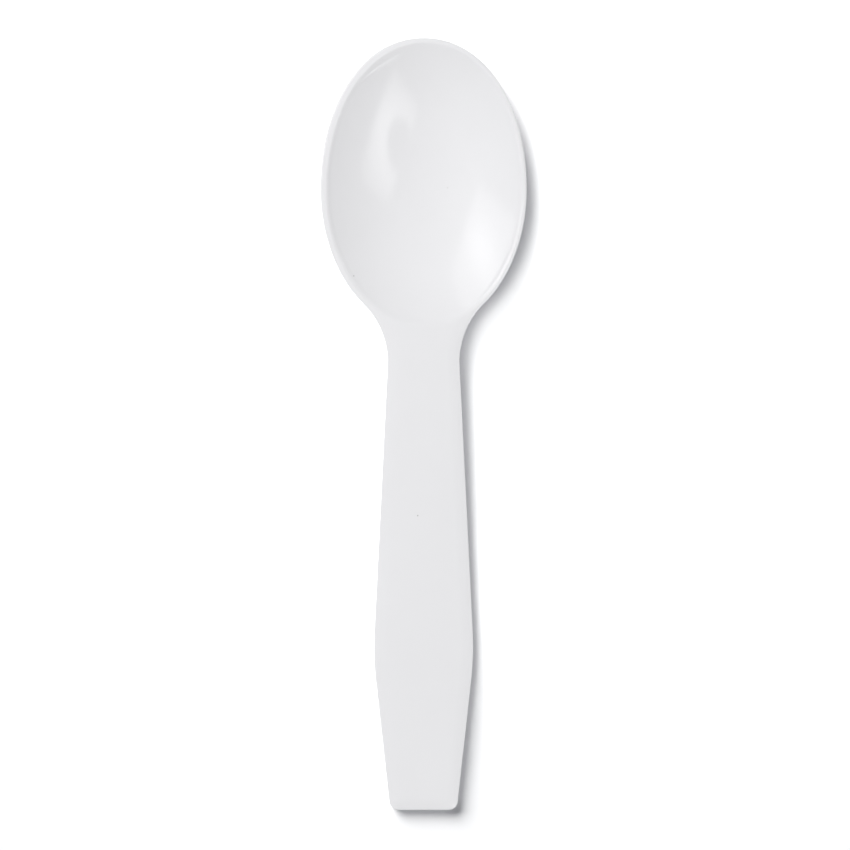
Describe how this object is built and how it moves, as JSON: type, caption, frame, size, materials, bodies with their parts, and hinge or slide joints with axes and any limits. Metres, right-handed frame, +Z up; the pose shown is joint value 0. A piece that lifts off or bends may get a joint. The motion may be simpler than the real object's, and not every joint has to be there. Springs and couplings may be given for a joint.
{
  "type": "taster spoon",
  "caption": "Small white plastic taster spoon with a shallow egg-shaped bowl, a flat rim and a plain flat handle that widens towards a squared end.",
  "frame": {"origin": "on the table the spoon lies on, below the middle of its length and width", "axes": "+Y from the end of the handle towards the tip of the bowl, +Z up out of the bowl, +X to the right seen from above with the tip away"},
  "size_m": [0.0204, 0.0762, 0.0042],
  "materials": {
    "polystyrene": "white moulded polystyrene, soft gloss"
  },
  "bodies": {
    "root": {"spoon": "polystyrene"}
  },
  "joints": []
}
